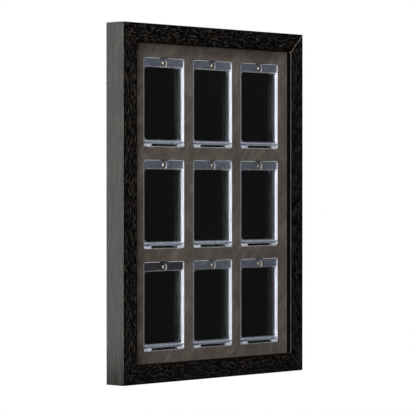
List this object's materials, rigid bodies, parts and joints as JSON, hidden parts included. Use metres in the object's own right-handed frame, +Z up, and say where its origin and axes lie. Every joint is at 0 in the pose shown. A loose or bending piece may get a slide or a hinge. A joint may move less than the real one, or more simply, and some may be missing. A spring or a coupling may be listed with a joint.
{
  "type": "trading card display frame",
  "caption": "Black wood-grain picture frame with a suede-faced insert that shows clear magnetic card holders in a grid, with tilt-open covers and hangers on the back.",
  "frame": {"origin": "middle of the flat lower edge that the frame stands on, halfway through the moulding's depth", "axes": "+Z up, -Y out of the front, +X to the right as seen from the front"},
  "size_m": [0.3588, 0.0352, 0.47],
  "materials": {
    "black_wood": "satin black with embossed grain",
    "suede": "brushed suede",
    "foam_board": "matte",
    "black_card": "satin",
    "plain_wood": "bare",
    "fibreboard": "bare",
    "clear_acrylic": "clear",
    "magnet_nickel": "polished",
    "zinc_steel": "zinc plated",
    "bumper_rubber": "matte"
  },
  "bodies": {
    "frame": {"frame_rail_bottom": "black_wood", "frame_rail_top": "black_wood", "frame_stile_left": "black_wood", "frame_stile_right": "black_wood", "corner_v_nails": "zinc_steel", "mat_facing": "suede", "insert_board": "foam_board", "backing_sheet": "black_card", "back_panel": "fibreboard", "spacer_top": "plain_wood", "spacer_bottom": "plain_wood", "spacer_left": "plain_wood", "spacer_right": "plain_wood", "hanger_screws": "zinc_steel", "hanger_strap_left": "zinc_steel", "hanger_strap_right": "zinc_steel", "wall_bumpers": "bumper_rubber", "base_magnets": "magnet_nickel", "holder_base_r1c1": "clear_acrylic", "holder_base_r1c2": "clear_acrylic", "holder_base_r1c3": "clear_acrylic", "holder_base_r2c1": "clear_acrylic", "holder_base_r2c2": "clear_acrylic", "holder_base_r2c3": "clear_acrylic", "holder_base_r3c1": "clear_acrylic", "holder_base_r3c2": "clear_acrylic", "holder_base_r3c3": "clear_acrylic", "turn_button_screws": "zinc_steel"},
    "cover_r1c1": {"holder_cover_r1c1": "clear_acrylic", "cover_magnet_r1c1": "magnet_nickel"},
    "cover_r1c2": {"holder_cover_r1c2": "clear_acrylic", "cover_magnet_r1c2": "magnet_nickel"},
    "cover_r1c3": {"holder_cover_r1c3": "clear_acrylic", "cover_magnet_r1c3": "magnet_nickel"},
    "cover_r2c1": {"holder_cover_r2c1": "clear_acrylic", "cover_magnet_r2c1": "magnet_nickel"},
    "cover_r2c2": {"holder_cover_r2c2": "clear_acrylic", "cover_magnet_r2c2": "magnet_nickel"},
    "cover_r2c3": {"holder_cover_r2c3": "clear_acrylic", "cover_magnet_r2c3": "magnet_nickel"},
    "cover_r3c1": {"holder_cover_r3c1": "clear_acrylic", "cover_magnet_r3c1": "magnet_nickel"},
    "cover_r3c2": {"holder_cover_r3c2": "clear_acrylic", "cover_magnet_r3c2": "magnet_nickel"},
    "cover_r3c3": {"holder_cover_r3c3": "clear_acrylic", "cover_magnet_r3c3": "magnet_nickel"},
    "button_1": {"turn_button_1": "zinc_steel"},
    "button_2": {"turn_button_2": "zinc_steel"},
    "button_3": {"turn_button_3": "zinc_steel"},
    "button_4": {"turn_button_4": "zinc_steel"},
    "button_5": {"turn_button_5": "zinc_steel"},
    "button_6": {"turn_button_6": "zinc_steel"},
    "ring_left": {"hanger_ring_left": "zinc_steel"},
    "ring_right": {"hanger_ring_right": "zinc_steel"}
  },
  "joints": [
    {"name": "cover_tilt_r1c1", "type": "hinge", "parent": "frame", "child": "cover_r1c1", "pos_m": [-0.0954, -0.00665, 0.312], "axis": [1, 0, 0], "range_deg": [0, 40]},
    {"name": "cover_tilt_r1c2", "type": "hinge", "parent": "frame", "child": "cover_r1c2", "pos_m": [0, -0.00665, 0.312], "axis": [1, 0, 0], "range_deg": [0, 40]},
    {"name": "cover_tilt_r1c3", "type": "hinge", "parent": "frame", "child": "cover_r1c3", "pos_m": [0.0954, -0.00665, 0.312], "axis": [1, 0, 0], "range_deg": [0, 40]},
    {"name": "cover_tilt_r2c1", "type": "hinge", "parent": "frame", "child": "cover_r2c1", "pos_m": [-0.0954, -0.00665, 0.178], "axis": [1, 0, 0], "range_deg": [0, 40]},
    {"name": "cover_tilt_r2c2", "type": "hinge", "parent": "frame", "child": "cover_r2c2", "pos_m": [0, -0.00665, 0.178], "axis": [1, 0, 0], "range_deg": [0, 40]},
    {"name": "cover_tilt_r2c3", "type": "hinge", "parent": "frame", "child": "cover_r2c3", "pos_m": [0.0954, -0.00665, 0.178], "axis": [1, 0, 0], "range_deg": [0, 40]},
    {"name": "cover_tilt_r3c1", "type": "hinge", "parent": "frame", "child": "cover_r3c1", "pos_m": [-0.0954, -0.00665, 0.044], "axis": [1, 0, 0], "range_deg": [0, 40]},
    {"name": "cover_tilt_r3c2", "type": "hinge", "parent": "frame", "child": "cover_r3c2", "pos_m": [0, -0.00665, 0.044], "axis": [1, 0, 0], "range_deg": [0, 40]},
    {"name": "cover_tilt_r3c3", "type": "hinge", "parent": "frame", "child": "cover_r3c3", "pos_m": [0.0954, -0.00665, 0.044], "axis": [1, 0, 0], "range_deg": [0, 40]},
    {"name": "button_turn_1", "type": "hinge", "parent": "frame", "child": "button_1", "pos_m": [-0.1694, 0.0165, 0.12], "axis": [0, 1, 0], "range_deg": [0, 90]},
    {"name": "button_turn_2", "type": "hinge", "parent": "frame", "child": "button_2", "pos_m": [-0.1694, 0.0165, 0.32], "axis": [0, 1, 0], "range_deg": [0, 90]},
    {"name": "button_turn_3", "type": "hinge", "parent": "frame", "child": "button_3", "pos_m": [0.1694, 0.0165, 0.12], "axis": [0, 1, 0], "range_deg": [0, 90]},
    {"name": "button_turn_4", "type": "hinge", "parent": "frame", "child": "button_4", "pos_m": [0.1694, 0.0165, 0.32], "axis": [0, 1, 0], "range_deg": [0, 90]},
    {"name": "button_turn_5", "type": "hinge", "parent": "frame", "child": "button_5", "pos_m": [0, 0.0165, 0.46], "axis": [0, 1, 0], "range_deg": [0, 90]},
    {"name": "button_turn_6", "type": "hinge", "parent": "frame", "child": "button_6", "pos_m": [0, 0.0165, 0.01], "axis": [0, 1, 0], "range_deg": [0, 90]},
    {"name": "ring_swing_left", "type": "hinge", "parent": "frame", "child": "ring_left", "pos_m": [-0.17, 0.0176, 0.4], "axis": [1, 0, 0], "range_deg": [0, 180]},
    {"name": "ring_swing_right", "type": "hinge", "parent": "frame", "child": "ring_right", "pos_m": [0.17, 0.0176, 0.4], "axis": [1, 0, 0], "range_deg": [0, 180]}
  ]
}
